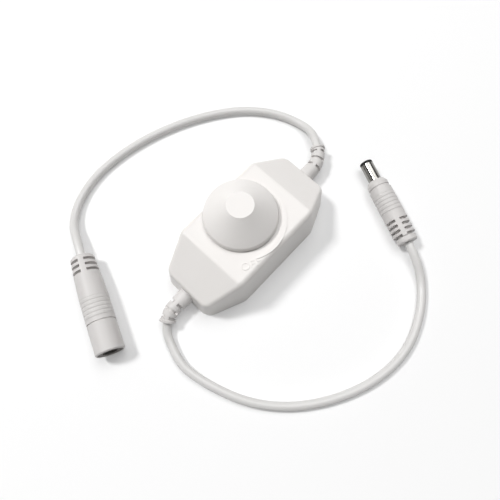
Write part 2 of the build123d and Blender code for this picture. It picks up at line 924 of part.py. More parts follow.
# Barrel plug: a metal sleeve outside, a sprung tube inside and a black insulator between them
barrel_start = plug_length - barrel_root
barrel_end = plug_length + barrel_length
sleeve_end = barrel_end - barrel_tip_length
sleeve_inner = barrel_radius - barrel_wall
contact_radius = contact_bore_radius + contact_wall
contact_mouth = barrel_end - contact_set_back
bore_bottom = contact_mouth - contact_depth
contact_foot = bore_bottom - contact_bottom
tail_end = barrel_start - contact_tail

with BuildPart() as barrel_form:
    with BuildSketch(Plane.XY.offset(barrel_start)):
        Circle(barrel_flange_radius)
    extrude(amount=barrel_flange_length)
    with BuildSketch(Plane.XY.offset(barrel_start)):
        Circle(barrel_shank_radius)
    extrude(amount=barrel_root)
    with BuildSketch(Plane.XY.offset(plug_length)):
        Circle(barrel_radius)
    extrude(amount=sleeve_end - plug_length)
    with BuildSketch(Plane.XY.offset(barrel_start)):
        Circle(sleeve_inner)
    extrude(amount=sleeve_end - barrel_start, mode=Mode.SUBTRACT)

with BuildPart() as contact_form:
    with BuildSketch(Plane.XY.offset(contact_foot)):
        Circle(contact_radius)
    extrude(amount=contact_mouth - contact_foot)
    with BuildSketch(Plane.XY.offset(tail_end)):
        Circle(contact_tail_radius)
    extrude(amount=contact_foot - tail_end)
    with BuildSketch(Plane.XY.offset(bore_bottom)):
        Circle(contact_bore_radius)
    extrude(amount=contact_depth, mode=Mode.SUBTRACT)

with BuildPart() as insulator_form:
    with BuildSketch(Plane.XY.offset(barrel_start)):
        Circle(sleeve_inner)
    extrude(amount=sleeve_end - barrel_start)
    with BuildSketch(Plane.XY.offset(sleeve_end)):
        Circle(barrel_radius)
    extrude(amount=barrel_tip_length)
    tip_edge = insulator_form.edges().filter_by(GeomType.CIRCLE).sort_by(Axis.Z)[-1]
    chamfer(tip_edge, barrel_tip_bevel)
    with BuildSketch(Plane.XY.offset(contact_foot)):
        Circle(contact_radius)
    extrude(amount=barrel_end - contact_foot, mode=Mode.SUBTRACT)
    with BuildSketch(Plane.XY.offset(barrel_start)):
        Circle(contact_tail_radius)
    extrude(amount=contact_foot - barrel_start, mode=Mode.SUBTRACT)

# Inside the plug the two cores part, the red one to the tube and the black one to the sleeve
half_spacing = core_wire_spacing / 2
sleeve_middle = (sleeve_inner + barrel_flange_radius) / 2
plug_red_core = core((-half_spacing, 0, 0), (-half_spacing, 0, tail_end))
plug_black_core = core(
    (half_spacing, 0, 0),
    (half_spacing, 0, tail_end - core_wire_spread),
    (sleeve_middle, 0, tail_end),
    (sleeve_middle, 0, barrel_start),
)

collar_start = plug_length - plug_nose_length - plug_collar_length
neck_start = collar_start - plug_neck_length
plug_form = spun(
    [
        (0, 0),
        (plug_tail_radius, 0),
        (plug_tail_radius, plug_tail_length),
        (plug_radius, plug_tail_length),
        (plug_radius, neck_start),
        (plug_neck_radius, neck_start),
        (plug_neck_radius, collar_start),
        (plug_collar_radius, collar_start),
        (plug_collar_radius, plug_length - plug_nose_length),
        (plug_nose_radius, plug_length),
        (0, plug_length),
    ]
)
with BuildPart() as plug_moulding:
    add(plug_form)
    rims = plug_moulding.edges().filter_by(GeomType.CIRCLE)
    wide_rims = rims.filter_by(lambda e: e.radius > plug_collar_radius)
    chamfer([rims.sort_by(Axis.Z)[0], wide_rims.sort_by(Axis.Z)[0]], plug_bevel)
    add(
        flex_slots(
            plug_tail_length,
            plug_slots,
            plug_slot_pitch,
            plug_slot_width,
            plug_radius,
            plug_core_radius,
            plug_rib_width,
            plug_roll,
        ),
        mode=Mode.SUBTRACT,
    )
    for inner in (
        barrel_form.part,
        insulator_form.part,
        contact_form.part,
        plug_red_core,
        plug_black_core,
    ):
        add(inner, mode=Mode.SUBTRACT)

plug_place = end_plane(output_route).location
for name, piece in (
    ("plug_overmould", plug_moulding.part),
    ("plug_barrel", barrel_form.part),
    ("plug_insulator", insulator_form.part),
    ("plug_inner_contact", contact_form.part),
    ("plug_red_wire", plug_red_core),
    ("plug_black_wire", plug_black_core),
):
    placed = plug_place * piece
    placed.label = name
    export_step(placed, f"parts/{name}.step")

# Socket: a black insert in the moulding, with a centre pin and a leaf spring in its bore
insert_front = jack_length - jack_insert_recess
insert_back = insert_front - jack_insert_length
socket_bottom = insert_front - socket_depth
pin_tip = insert_front - centre_pin_set_back
pin_tail_end = insert_back - centre_pin_tail
leaf_end = insert_back - spring_tail

with BuildPart() as pin_form:
    with BuildSketch(Plane.XY.offset(socket_bottom)):
        Circle(centre_pin_radius)
    extrude(amount=pin_tip - socket_bottom)
    chamfer(pin_form.edges().sort_by(Axis.Z)[-1], centre_pin_radius / 2)
    with BuildSketch(Plane.XY.offset(pin_tail_end)):
        Circle(centre_pin_tail_radius)
    extrude(amount=socket_bottom - pin_tail_end)

with BuildPart() as leaf_form:
    with BuildSketch(Plane.XY.offset(leaf_end)):
        with Locations((spring_inner, 0)):
            Rectangle(spring_thickness, spring_width, align=(Align.MIN, Align.CENTER))
    extrude(amount=socket_bottom + spring_length - leaf_end)

with BuildPart() as insert_form:
    with BuildSketch(Plane.XY.offset(insert_back)):
        Circle(jack_insert_radius)
    extrude(amount=jack_insert_length)
    with BuildSketch(Plane.XY.offset(socket_bottom)):
        Circle(socket_bore_radius)
    extrude(amount=socket_depth, mode=Mode.SUBTRACT)
    with BuildSketch(Plane.XY.offset(insert_back)):
        Circle(centre_pin_tail_radius)
    extrude(amount=socket_bottom - insert_back, mode=Mode.SUBTRACT)
    add(leaf_form.part, mode=Mode.SUBTRACT)

# Inside the socket's moulding the cores part again, to the pin and to the leaf spring
leaf_middle = spring_inner + spring_thickness / 2
jack_red_core = core((-half_spacing, 0, 0), (-half_spacing, 0, pin_tail_end))
jack_black_core = core(
    (half_spacing, 0, 0),
    (half_spacing, 0, pin_tail_end - core_wire_spread),
    (leaf_middle, 0, pin_tail_end),
    (leaf_middle, 0, leaf_end),
)

slots_end = jack_slot_first + jack_slots * jack_slot_pitch
groove_middle = insert_front - jack_sleeve_length
jack_form = spun(
    [
        (0, 0),
        (jack_tail_radius, 0),
        (jack_slot_end_radius, slots_end),
        (jack_radius, jack_taper_end),
        (jack_radius, groove_middle - jack_groove_width / 2),
        (jack_radius - jack_groove_depth, groove_middle - jack_groove_width / 2),
        (jack_radius - jack_groove_depth, groove_middle + jack_groove_width / 2),
        (jack_radius, groove_middle + jack_groove_width / 2),
        (jack_radius, jack_length),
        (0, jack_length),
    ]
)
with BuildPart() as jack_moulding:
    add(jack_form)
    end_rims = jack_moulding.edges().filter_by(GeomType.CIRCLE).sort_by(Axis.Z)
    chamfer(end_rims[0], jack_tail_bevel)
    chamfer(end_rims[-1], jack_bevel)
    with BuildSketch(Plane.XY.offset(insert_back)):
        Circle(jack_insert_radius)
    extrude(amount=jack_length - insert_back, mode=Mode.SUBTRACT)
    add(
        flex_slots(
            jack_slot_first,
            jack_slots,
            jack_slot_pitch,
            jack_slot_width,
            jack_radius,
            jack_core_radius,
            jack_rib_width,
            jack_roll,
        ),
        mode=Mode.SUBTRACT,
    )
    for inner in (pin_form.part, leaf_form.part, jack_red_core, jack_black_core):
        add(inner, mode=Mode.SUBTRACT)

jack_place = end_plane(input_route).location
for name, piece in (
    ("jack_overmould", jack_moulding.part),
    ("jack_insert", insert_form.part),
    ("jack_centre_pin", pin_form.part),
    ("jack_spring_contact", leaf_form.part),
    ("jack_red_wire", jack_red_core),
    ("jack_black_wire", jack_black_core),
):
    placed = jack_place * piece
    placed.label = name
    export_step(placed, f"parts/{name}.step")
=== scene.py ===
# %% [markdown]
# An inline rotary dimmer lies on a white table: a moulded housing with a large knob, two round
# cables, a barrel socket on one and a barrel plug on the other. The rigid pieces come from the
# CAD model in its own place, so this lesson adds what CAD can't show: the finish of each
# surface, the two soft cables, the small raised word by the knob, the light and the camera.
# Everything is in metres. +X runs along the housing, +Z is up.

# %% The frame
import math

import bpy
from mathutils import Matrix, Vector


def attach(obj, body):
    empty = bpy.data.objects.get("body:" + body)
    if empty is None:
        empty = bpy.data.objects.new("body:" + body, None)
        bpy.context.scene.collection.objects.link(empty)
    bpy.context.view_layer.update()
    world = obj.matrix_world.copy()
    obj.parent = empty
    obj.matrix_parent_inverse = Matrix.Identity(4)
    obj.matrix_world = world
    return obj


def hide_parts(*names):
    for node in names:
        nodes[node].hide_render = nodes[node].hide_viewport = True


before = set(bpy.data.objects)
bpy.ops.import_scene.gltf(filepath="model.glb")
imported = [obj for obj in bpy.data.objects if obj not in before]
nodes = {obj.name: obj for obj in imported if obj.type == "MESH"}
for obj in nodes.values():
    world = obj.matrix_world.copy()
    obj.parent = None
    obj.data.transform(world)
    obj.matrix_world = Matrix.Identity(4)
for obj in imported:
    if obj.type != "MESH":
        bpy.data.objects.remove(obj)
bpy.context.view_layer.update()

# %% [markdown]
# The camera comes first, because every other choice is judged through it. The photograph looks
# steeply down from beyond the plug's cable, from close by, so the lens matters: a long lens
# would lose the way the near cable grows towards the viewer. The place was worked out from the
# housing's corners, the knob's two rings and the plug's known width.

# %% Camera
MM = 0.001
aim = Vector((-3.1, -4.39, 0.0)) * MM
view_height = math.radians(72.62)
view_side = math.radians(-136.81)
view_distance = 191.39 * MM


def direction_to(side, height):
    """The unit direction that has this side and this height above the table, in radians."""
    return Vector(
        (
            math.cos(height) * math.cos(side),
            math.cos(height) * math.sin(side),
            math.sin(height),
        )
    )


def stand_and_face(thing, away, distance):
    """Puts a camera or a lamp at a distance from the aim, turned to face it."""
    thing.location = aim + away * distance
    thing.rotation_euler = (-away).to_track_quat("-Z", "Y").to_euler()
    bpy.context.scene.collection.objects.link(thing)


camera_data = bpy.data.cameras.new("photo_camera")
camera_data.sensor_width = 36.0
camera_data.lens = 33.02
camera_data.clip_start = 5 * MM
camera = bpy.data.objects.new("photo_camera", camera_data)
stand_and_face(camera, direction_to(view_side, view_height), view_distance)
bpy.context.scene.camera = camera
bpy.context.scene.view_settings.view_transform = "Standard"
print("camera at", [round(v / MM, 1) for v in camera.location], "mm")

# %% [markdown]
# The cables are soft round cords, and they lie where they fall. A NURBS curve suits them: a few
# control points give one smooth line with no corners, and a round bevel gives the jacket. The
# points are the same as the CAD route's, in millimetres here and turned to metres below. Each
# cord leaves its gland, comes down to the table and rises again to the middle of its plug or
# its socket.

# %% Routes of the two cables
cable_diameter = 3.5 * MM
input_route = [
    (49.75, 4.99, 5.2),
    (53.1, 9.34, 5.2),
    (55.3, 14.9, 3.3),
    (55.4, 20.6, 1.75),
    (53.3, 28.0, 1.75),
    (49.5, 35.4, 1.75),
    (41.9, 44.8, 1.75),
    (28.7, 54.2, 1.75),
    (13.4, 61.5, 1.75),
    (-3.3, 66.2, 1.75),
    (-20.8, 67.8, 1.75),
    (-34.9, 64.8, 1.75),
    (-45.4, 58.1, 2.6),
    (-50.0, 48.0, 5.65),
    (-52.9, 41.8, 5.65),
]
output_route = [
    (-47.22, -1.8, 3.9),
    (-50.32, -3.86, 2.42),
    (-52.6, -8.9, 1.75),
    (-54.5, -14.6, 1.75),
    (-55.2, -20.4, 1.75),
    (-52.9, -31.6, 1.75),
    (-47.7, -45.5, 1.75),
    (-38.0, -58.3, 1.75),
    (-24.0, -68.8, 1.75),
    (-8.0, -75.6, 1.75),
    (8.2, -77.2, 1.75),
    (22.8, -72.6, 1.75),
    (34.2, -64.9, 1.75),
    (39.9, -55.7, 4.7),
    (42.4, -50.3, 4.7),
]
print("points on the routes", len(input_route), len(output_route))

# %% [markdown]
# A curve's thickness is its bevel depth times the radius of each point. The radius is written
# at the points here, and the depth is 1, because Blender pads a curve's box by the radius of
# its points: the box then stays as tight as the cable.

# %% Laying a cable
steps_between_points = 16
steps_round_jacket = 6


def lay_cable(name, route):
    """A round cord on one smooth NURBS line with capped ends."""
    curve = bpy.data.curves.new(name, "CURVE")
    curve.dimensions = "3D"
    curve.bevel_depth = 1.0
    curve.bevel_resolution = steps_round_jacket
    curve.resolution_u = steps_between_points
    curve.use_fill_caps = True
    line = curve.splines.new("NURBS")
    line.points.add(len(route) - 1)
    for point, spot in zip(line.points, route):
        point.co = (*(Vector(spot) * MM), 1.0)
        point.radius = cable_diameter / 2
    line.order_u = 3
    line.use_endpoint_u = True
    cord = bpy.data.objects.new(name, curve)
    bpy.context.scene.collection.objects.link(cord)
    return cord


input_cord = lay_cable("input_cord", input_route)
output_cord = lay_cable("output_cord", output_route)
for cord, node, route, length, far_end, family, gland in (
    (input_cord, "input_cable", input_route, 0.158, "connector", "jack_", "input_gland"),
    (output_cord, "output_cable", output_route, 0.160, "plug", "plug_", "output_gland"),
):
    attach(cord, "housing")
    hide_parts(node)
    print(cord.name, "leaves", gland, "and ends in the", far_end)

# %% [markdown]
# A material is a tree of nodes, and most trees here share steps. A shader node group holds such
# a step once, with its own sockets, and each material then gives it its own values. A few small
# helpers keep the trees readable: one places a node with its settings, one joins sockets, and
# one starts a group.

# %% Helpers for node trees
NUMBER = "NodeSocketFloat"
COLOUR = "NodeSocketColor"
STRETCH = "NodeSocketVector"


def place(tree, kind, inputs=None, **settings):
    """Adds a node to a tree, with its settings and its unlinked input values."""
    made = tree.nodes.new(kind)
    for key, value in settings.items():
        setattr(made, key, value)
    for key, value in (inputs or {}).items():
        made.inputs[key].default_value = value
    return made


def join(tree, *pairs):
    """Links output sockets to input sockets."""
    for source, target in pairs:
        tree.links.new(source, target)


def start_group(name, takes, gives):
    """A shader node group with named sockets, and its two end nodes."""
    group = bpy.data.node_groups.new(name, "ShaderNodeTree")
    for label, kind, value in takes:
        socket = group.interface.new_socket(label, in_out="INPUT", socket_type=kind)
        socket.default_value = value
    for label, kind in gives:
        group.interface.new_socket(label, in_out="OUTPUT", socket_type=kind)
    return group, place(group, "NodeGroupInput"), place(group, "NodeGroupOutput")


print("helpers for node trees are ready")

# %% [markdown]
# No moulded surface is quite even. Plastic from a steel tool has a fine spark-eroded skin, and
# its tint drifts a little where the wall is thicker. One group gives both: a small noise for
# the height of the skin and a slow noise for tint and gloss. It works in object space, in
# metres, so the grain keeps its real size on every piece.

# %% Moulded skin group
skin_group, skin_in, skin_out = start_group(
    "moulded_skin",
    [
        ("Colour", COLOUR, (0.8, 0.8, 0.8, 1.0)),
        ("Deep Colour", COLOUR, (0.7, 0.7, 0.7, 1.0)),
        ("Grain Scale", NUMBER, 2500.0),
        ("Drift Scale", NUMBER, 60.0),
        ("Roughness", NUMBER, 0.4),
        ("Roughness Spread", NUMBER, 0.08),
    ],
    [("Colour", COLOUR), ("Roughness", NUMBER), ("Height", NUMBER)],
)
where = place(skin_group, "ShaderNodeTexCoord")
grain = place(skin_group, "ShaderNodeTexNoise", {"Detail": 2.0, "Roughness": 0.55})
drift = place(skin_group, "ShaderNodeTexNoise", {"Detail": 3.0, "Roughness": 0.5})
tint = place(skin_group, "ShaderNodeMix", data_type="RGBA")
spread = place(skin_group, "ShaderNodeMath", {1: 0.5}, operation="SUBTRACT")
gloss = place(skin_group, "ShaderNodeMath", operation="MULTIPLY_ADD")
join(
    skin_group,
    (where.outputs["Object"], grain.inputs["Vector"]),
    (where.outputs["Object"], drift.inputs["Vector"]),
    (skin_in.outputs["Grain Scale"], grain.inputs["Scale"]),
    (skin_in.outputs["Drift Scale"], drift.inputs["Scale"]),
    (drift.outputs["Fac"], tint.inputs["Factor"]),
    (skin_in.outputs["Colour"], tint.inputs["A"]),
    (skin_in.outputs["Deep Colour"], tint.inputs["B"]),
    (tint.outputs["Result"], skin_out.inputs["Colour"]),
    (drift.outputs["Fac"], spread.inputs[0]),
    (spread.outputs["Value"], gloss.inputs[0]),
    (skin_in.outputs["Roughness Spread"], gloss.inputs[1]),
    (skin_in.outputs["Roughness"], gloss.inputs[2]),
    (gloss.outputs["Value"], skin_out.inputs["Roughness"]),
    (grain.outputs["Fac"], skin_out.inputs["Height"]),
)
print("group", skin_group.name, "has", len(skin_group.nodes), "nodes")

# %% [markdown]
# White plastic that has been handled is never clean all over. Skin oil and dust stay on it as a
# faint warm grey. The group multiplies a broken noise by a second, larger one, so the marks
# come in patches, and each material says how much of them it shows.

# %% Handling marks group
marks_group, marks_in, marks_out = start_group(
    "handling_marks",
    [
        ("Colour", COLOUR, (0.8, 0.8, 0.8, 1.0)),
        ("Mark Colour", COLOUR, (0.6, 0.58, 0.54, 1.0)),
        ("Amount", NUMBER, 0.1),
        ("Scale", NUMBER, 220.0),
    ],
    [("Colour", COLOUR)],
)
where = place(marks_group, "ShaderNodeTexCoord")
patches = place(marks_group, "ShaderNodeTexNoise", {"Scale": 35.0, "Detail": 2.0})
broken = place(marks_group, "ShaderNodeTexNoise", {"Detail": 6.0, "Roughness": 0.7})
narrow = place(marks_group, "ShaderNodeMapRange", {"From Min": 0.5, "From Max": 0.75})
patchy = place(marks_group, "ShaderNodeMapRange", {"From Min": 0.42, "From Max": 0.62})
both = place(marks_group, "ShaderNodeMath", operation="MULTIPLY")
amount = place(marks_group, "ShaderNodeMath", operation="MULTIPLY")
soiled = place(marks_group, "ShaderNodeMix", data_type="RGBA")
join(
    marks_group,
    (where.outputs["Object"], patches.inputs["Vector"]),
    (where.outputs["Object"], broken.inputs["Vector"]),
    (marks_in.outputs["Scale"], broken.inputs["Scale"]),
    (broken.outputs["Fac"], narrow.inputs["Value"]),
    (patches.outputs["Fac"], patchy.inputs["Value"]),
    (narrow.outputs["Result"], both.inputs[0]),
    (patchy.outputs["Result"], both.inputs[1]),
    (both.outputs["Value"], amount.inputs[0]),
    (marks_in.outputs["Amount"], amount.inputs[1]),
    (amount.outputs["Value"], soiled.inputs["Factor"]),
    (marks_in.outputs["Colour"], soiled.inputs["A"]),
    (marks_in.outputs["Mark Colour"], soiled.inputs["B"]),
    (soiled.outputs["Result"], marks_out.inputs["Colour"]),
)
print("group", marks_group.name, "has", len(marks_group.nodes), "nodes")

# %% [markdown]
# Rings run round the grips of the plug and the socket. They are too fine to be worth a solid,
# so a wave along the piece's axis drives a bump. The group takes the distance along the axis
# and cuts the wave off before the first ring and after the last, so that the ends of the grip
# stay smooth.

# %% Ring group
ring_group, ring_in, ring_out = start_group(
    "ring_rows",
    [
        ("Along", NUMBER, 0.0),
        ("First", NUMBER, 0.0),
        ("Last", NUMBER, 0.01),
        ("Pitch", NUMBER, 0.0018),
        ("Sharpness", NUMBER, 3.0),
    ],
    [("Height", NUMBER)],
)
from_first = place(ring_group, "ShaderNodeMath", operation="SUBTRACT")
turns = place(ring_group, "ShaderNodeMath", operation="DIVIDE")
angle = place(ring_group, "ShaderNodeMath", {1: 2 * math.pi}, operation="MULTIPLY")
swing = place(ring_group, "ShaderNodeMath", operation="COSINE")
lifted = place(ring_group, "ShaderNodeMath", {1: 0.5, 2: 0.5}, operation="MULTIPLY_ADD")
sharp = place(ring_group, "ShaderNodeMath", operation="POWER")
after = place(ring_group, "ShaderNodeMath", operation="GREATER_THAN")
before = place(ring_group, "ShaderNodeMath", operation="LESS_THAN")
window = place(ring_group, "ShaderNodeMath", operation="MULTIPLY")
groove = place(ring_group, "ShaderNodeMath", operation="MULTIPLY")
height = place(ring_group, "ShaderNodeMath", {0: 1.0}, operation="SUBTRACT")
join(
    ring_group,
    (ring_in.outputs["Along"], from_first.inputs[0]),
    (ring_in.outputs["First"], from_first.inputs[1]),
    (from_first.outputs["Value"], turns.inputs[0]),
    (ring_in.outputs["Pitch"], turns.inputs[1]),
    (turns.outputs["Value"], angle.inputs[0]),
    (angle.outputs["Value"], swing.inputs[0]),
    (swing.outputs["Value"], lifted.inputs[0]),
    (lifted.outputs["Value"], sharp.inputs[0]),
    (ring_in.outputs["Sharpness"], sharp.inputs[1]),
    (ring_in.outputs["Along"], after.inputs[0]),
    (ring_in.outputs["First"], after.inputs[1]),
    (ring_in.outputs["Along"], before.inputs[0]),
    (ring_in.outputs["Last"], before.inputs[1]),
    (after.outputs["Value"], window.inputs[0]),
    (before.outputs["Value"], window.inputs[1]),
    (sharp.outputs["Value"], groove.inputs[0]),
    (window.outputs["Value"], groove.inputs[1]),
    (groove.outputs["Value"], height.inputs[1]),
    (height.outputs["Value"], ring_out.inputs["Height"]),
)
print("group", ring_group.name, "has", len(ring_group.nodes), "nodes")

# %% [markdown]
# The shader itself stays in each material, and the groups feed it. So a recipe for a finish
# is a function that starts a material, places the groups with this finish's own values and
# joins them to the shader. The first recipe is for anything moulded.


# %% Starting a material
def start_material(name):
    """An empty material with its shader, and the shader joined to the output."""
    material = bpy.data.materials.new(name)
    material.use_nodes = True
    tree = material.node_tree
    tree.nodes.clear()
    shader = place(tree, "ShaderNodeBsdfPrincipled")
    end = place(tree, "ShaderNodeOutputMaterial")
    join(tree, (shader.outputs["BSDF"], end.inputs["Surface"]))
    return material, tree, shader


def use_group(tree, group, inputs):
    """Places a group in a material, with its own values."""
    return place(tree, "ShaderNodeGroup", inputs, node_tree=group)


print("a material starts with its shader and its output")


# %% The moulded recipe
def moulded(name, colour, deep, rough, spread, grain_scale, grain_depth, soil, ior=1.5):
    """Moulded plastic: skin, slow drift of tint, and light handling marks."""
    material, tree, shader = start_material(name)
    shader.inputs["IOR"].default_value = ior
    skin = use_group(
        tree,
        skin_group,
        {
            "Colour": (*colour, 1.0),
            "Deep Colour": (*deep, 1.0),
            "Grain Scale": grain_scale,
            "Roughness": rough,
            "Roughness Spread": spread,
        },
    )
    marks = use_group(tree, marks_group, {"Amount": soil})
    bump = place(tree, "ShaderNodeBump", {"Strength": 1.0, "Distance": grain_depth})
    join(
        tree,
        (skin.outputs["Colour"], marks.inputs["Colour"]),
        (marks.outputs["Colour"], shader.inputs["Base Color"]),
        (skin.outputs["Roughness"], shader.inputs["Roughness"]),
        (skin.outputs["Height"], bump.inputs["Height"]),
        (bump.outputs["Normal"], shader.inputs["Normal"]),
    )
    return material


print("the moulded recipe uses", skin_group.name, "and", marks_group.name)

# %% [markdown]
# The housing and the knob are hard, slightly warm white plastic with a satin skin, the cable's
# jacket and the mouldings on it a softer and greyer one. They differ in how tight the highlight
# is, and the eye reads that as hard or soft before it reads the colour.

# %% White plastics
housing_white = moulded(
    "housing_white",
    colour=(0.83, 0.805, 0.785),
    deep=(0.80, 0.775, 0.750),
    rough=0.36,
    spread=0.10,
    grain_scale=2600.0,
    grain_depth=6e-6,
    soil=0.10,
)
knob_white = moulded(
    "knob_white",
    colour=(0.85, 0.825, 0.805),
    deep=(0.82, 0.795, 0.770),
    rough=0.38,
    spread=0.08,
    grain_scale=3200.0,
    grain_depth=4e-6,
    soil=0.08,
)
soft_skin = {
    "rough": 0.48,
    "spread": 0.10,
    "grain_scale": 2200.0,
    "grain_depth": 8e-6,
    "soil": 0.16,
}
soft_white = moulded(
    "soft_white", colour=(0.70, 0.68, 0.67), deep=(0.66, 0.64, 0.625), **soft_skin
)
jacket_white = moulded(
    "jacket_white",
    colour=(0.72, 0.71, 0.70),
    deep=(0.68, 0.67, 0.655),
    rough=0.32,
    spread=0.10,
    grain_scale=1500.0,
    grain_depth=6e-6,
    soil=0.14,
)
print("whites", [m.name for m in (housing_white, knob_white, soft_white, jacket_white)])

# %% [markdown]
# The plug and the socket lie at angles on the table, so their rings follow their own axes. A
# dot product of a point with the axis gives how far along the piece that point is. The rings
# then feed the same bump as the skin, on top of it.

# %% Grips with rings
ring_pitch = 1.64 * MM


def ringed(name, route, first, last, depth):
    """Soft white moulding with rings, in mm from where its cable's route ends."""
    start = Vector(route[-1])
    axis = (start - Vector(route[-2])).normalized()
    material = moulded(
        name, colour=(0.66, 0.64, 0.63), deep=(0.62, 0.60, 0.585), **soft_skin
    )
    tree = material.node_tree
    shader = next(n for n in tree.nodes if n.type == "BSDF_PRINCIPLED")
    skin_bump = next(n for n in tree.nodes if n.type == "BUMP")
    where = place(tree, "ShaderNodeTexCoord")
    along = place(tree, "ShaderNodeVectorMath", {1: axis}, operation="DOT_PRODUCT")
    start_along = (start * MM).dot(axis)
    shift = place(tree, "ShaderNodeMath", {1: start_along}, operation="SUBTRACT")
    rings = use_group(
        tree,
        ring_group,
        {"First": first * MM, "Last": last * MM, "Pitch": ring_pitch},
    )
    bump = place(tree, "ShaderNodeBump", {"Strength": 1.0, "Distance": depth * MM})
    join(
        tree,
        (where.outputs["Object"], along.inputs[0]),
        (along.outputs["Value"], shift.inputs[0]),
        (shift.outputs["Value"], rings.inputs["Along"]),
        (rings.outputs["Height"], bump.inputs["Height"]),
        (skin_bump.outputs["Normal"], bump.inputs["Normal"]),
        (bump.outputs["Normal"], shader.inputs["Normal"]),
    )
    return material


plug_grip = ringed("plug_grip", output_route, first=14.2, last=22.4, depth=0.17)
jack_grip = ringed("jack_grip", input_route, first=18.4, last=26.6, depth=0.14)
print("grips", plug_grip.name, jack_grip.name, "with rings every", ring_pitch, "m")

# %% [markdown]
# Metal in a small electrical part is turned, pressed or plated. Turning leaves fine rings,
# pressing leaves an even grain, and plating is smooth but picks up hair scratches. A stretched
# noise gives all three: how far it is stretched, and which way, tells them apart.

# %% Worked metal group
metal_group, metal_in, metal_out = start_group(
    "worked_metal",
    [
        ("Colour", COLOUR, (0.7, 0.7, 0.7, 1.0)),
        ("Dull Colour", COLOUR, (0.5, 0.5, 0.5, 1.0)),
        ("Stretch", STRETCH, (1.0, 1.0, 20.0)),
        ("Scale", NUMBER, 1500.0),
        ("Roughness", NUMBER, 0.25),
        ("Roughness Spread", NUMBER, 0.15),
    ],
    [("Colour", COLOUR), ("Roughness", NUMBER), ("Height", NUMBER)],
)
where = place(metal_group, "ShaderNodeTexCoord")
stretched = place(metal_group, "ShaderNodeVectorMath", operation="MULTIPLY")
lines = place(metal_group, "ShaderNodeTexNoise", {"Detail": 3.0, "Roughness": 0.6})
cloud = place(metal_group, "ShaderNodeTexNoise", {"Scale": 300.0, "Detail": 3.0})
worn = place(metal_group, "ShaderNodeMapRange", {"From Min": 0.45, "From Max": 0.7})
shade = place(metal_group, "ShaderNodeMix", data_type="RGBA")
rough = place(metal_group, "ShaderNodeMath", operation="MULTIPLY_ADD")
join(
    metal_group,
    (where.outputs["Object"], stretched.inputs[0]),
    (metal_in.outputs["Stretch"], stretched.inputs[1]),
    (stretched.outputs["Vector"], lines.inputs["Vector"]),
    (metal_in.outputs["Scale"], lines.inputs["Scale"]),
    (where.outputs["Object"], cloud.inputs["Vector"]),
    (cloud.outputs["Fac"], worn.inputs["Value"]),
    (worn.outputs["Result"], shade.inputs["Factor"]),
    (metal_in.outputs["Colour"], shade.inputs["A"]),
    (metal_in.outputs["Dull Colour"], shade.inputs["B"]),
    (shade.outputs["Result"], metal_out.inputs["Colour"]),
    (lines.outputs["Fac"], rough.inputs[0]),
    (metal_in.outputs["Roughness Spread"], rough.inputs[1]),
    (metal_in.outputs["Roughness"], rough.inputs[2]),
    (rough.outputs["Value"], metal_out.inputs["Roughness"]),
    (lines.outputs["Fac"], metal_out.inputs["Height"]),
)
print("group", metal_group.name, "has", len(metal_group.nodes), "nodes")


# %% The metal recipe
def metal(name, colour, dull, stretch, scale, rough, spread, depth):
    """Bare or plated metal with lines, worn patches and a fine bump."""
    material, tree, shader = start_material(name)
    shader.inputs["Metallic"].default_value = 1.0
    worked = use_group(
        tree,
        metal_group,
        {
            "Colour": (*colour, 1.0),
            "Dull Colour": (*dull, 1.0),
            "Stretch": stretch,
            "Scale": scale,
            "Roughness": rough,
            "Roughness Spread": spread,
        },
    )
    bump = place(tree, "ShaderNodeBump", {"Strength": 1.0, "Distance": depth})
    join(
        tree,
        (worked.outputs["Colour"], shader.inputs["Base Color"]),
        (worked.outputs["Roughness"], shader.inputs["Roughness"]),
        (worked.outputs["Height"], bump.inputs["Height"]),
        (bump.outputs["Normal"], shader.inputs["Normal"]),
    )
    return material


print("the metal recipe uses", metal_group.name)

# %% [markdown]
# The plug's sleeve is the one metal in sight. Its plating is smooth, and its colour is set
# darker than real nickel: this is painted shade, standing in for the dark surroundings that its
# flanks reflect beside the bright stripe. The metals inside are duller and rougher: zinc on the
# screws, turned steel for the shaft, pressed steel for the case that carries it, and brass
# where a spring has to conduct.

# %% Metals
even = (1.0, 1.0, 1.0)
round_the_shaft = (1.0, 1.0, 25.0)
along_the_spring = (30.0, 1.0, 1.0)
# Painted shade: this colour is darker than real nickel, for the dark reflections beside the
# sleeve's stripe.
nickel = metal(
    "nickel_plate",
    colour=(0.30, 0.295, 0.28),
    dull=(0.24, 0.235, 0.22),
    stretch=even,
    scale=900.0,
    rough=0.13,
    spread=0.08,
    depth=2e-7,
)
zinc_steel = metal(
    "zinc_steel",
    colour=(0.62, 0.62, 0.60),
    dull=(0.42, 0.41, 0.38),
    stretch=even,
    scale=2500.0,
    rough=0.28,
    spread=0.2,
    depth=3e-6,
)
turned_metal = metal(
    "turned_metal",
    colour=(0.72, 0.72, 0.71),
    dull=(0.55, 0.55, 0.54),
    stretch=round_the_shaft,
    scale=1200.0,
    rough=0.22,
    spread=0.2,
    depth=4e-6,
)
pressed_metal = metal(
    "pressed_metal",
    colour=(0.60, 0.59, 0.56),
    dull=(0.44, 0.43, 0.40),
    stretch=even,
    scale=1800.0,
    rough=0.34,
    spread=0.2,
    depth=4e-6,
)
spring_brass = metal(
    "spring_brass",
    colour=(0.78, 0.58, 0.28),
    dull=(0.50, 0.34, 0.16),
    stretch=along_the_spring,
    scale=800.0,
    rough=0.26,
    spread=0.2,
    depth=3e-6,
)
metals = (nickel, zinc_steel, turned_metal, pressed_metal, spring_brass)
print("metals", [m.name for m in metals])

# %% [markdown]
# The electronics are out of sight, but they show when the cover is off. They are moulded epoxy,
# ceramic, a printed sleeve round a can, and the green mask on the board. The moulded recipe
# covers them all, with darker colours and a coarser grain.

